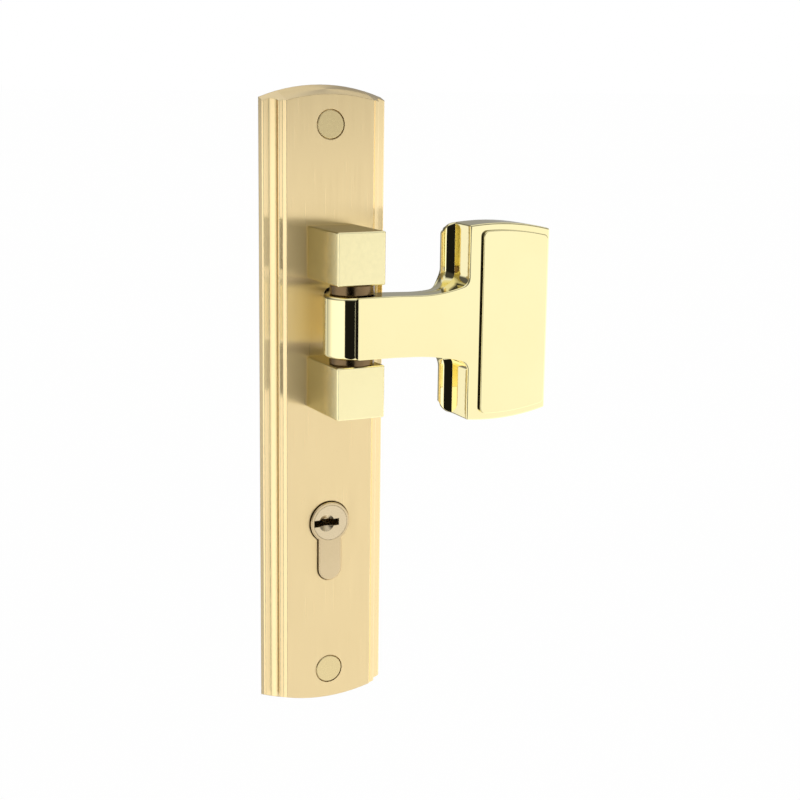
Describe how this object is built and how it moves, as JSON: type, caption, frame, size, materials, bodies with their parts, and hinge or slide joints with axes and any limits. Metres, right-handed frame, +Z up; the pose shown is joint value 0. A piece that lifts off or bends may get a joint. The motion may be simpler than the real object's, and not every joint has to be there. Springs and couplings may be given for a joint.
{
  "type": "mortise lock handle plate",
  "caption": "Brass mortise lock handle plate with arched ends, a T grip that swings on an upright pin between two blocks to turn the spindle, and a half profile cylinder below.",
  "frame": {"origin": "where the spindle axis meets the door surface, at the back of the plate", "axes": "+Z up along the plate, +Y into the door, +X towards the grip"},
  "size_m": [0.1112, 0.0868, 0.254],
  "materials": {
    "satin_brass": "satin, brushed along its length",
    "polished_brass": "polished",
    "cylinder_brass": "fine satin",
    "plug_brass": "turned",
    "post_brass": "satin",
    "bearing_bronze": "turned",
    "bright_steel": "ground",
    "zinc_steel": "zinc plated",
    "black_steel": "blackened",
    "spring_steel": "blue strip",
    "white_nylon": "matt"
  },
  "bodies": {
    "plate": {"backplate": "satin_brass", "upper_block": "polished_brass", "lower_block": "polished_brass", "pivot_pin": "bright_steel", "pin_screw": "black_steel", "upper_spacer": "bearing_bronze", "lower_spacer": "bearing_bronze", "wear_washer": "white_nylon", "mechanism_cover": "zinc_steel", "cover_bush": "bearing_bronze", "cover_screws": "zinc_steel", "return_spring": "spring_steel", "block_screws": "black_steel", "fixing_posts": "post_brass", "cylinder_body": "cylinder_brass", "driver_pins": "bright_steel"},
    "handle": {"tee_handle": "polished_brass", "upper_bush": "bearing_bronze", "lower_bush": "bearing_bronze", "drive_finger": "bright_steel"},
    "spindle": {"spindle_crank": "zinc_steel", "spindle": "zinc_steel"},
    "outer_plug": {"outer_plug": "plug_brass", "outer_key_pins": "plug_brass", "cam_pin": "bright_steel", "cylinder_cam": "zinc_steel"}
  },
  "joints": [
    {"name": "handle_pivot", "type": "hinge", "parent": "plate", "child": "handle", "pos_m": [0, -0.0307, 0], "axis": [0, 0, 1], "range_deg": [-15, 0], "stiffness_Nm_per_rad": 1.2, "springref_deg": 8.59},
    {"name": "spindle_turn", "type": "hinge", "parent": "plate", "child": "spindle", "pos_m": [0, 0, 0], "axis": [0, 1, 0], "range_deg": [0, 38.4], "deforming": ["return_spring"]},
    {"name": "outer_plug_turn", "type": "hinge", "parent": "plate", "child": "outer_plug", "pos_m": [0, 0, -0.085], "axis": [0, 1, 0], "continuous": true}
  ],
  "couplings": [
    {"joint": "spindle_turn", "follows": "handle_pivot", "ratio": -2.56}
  ]
}
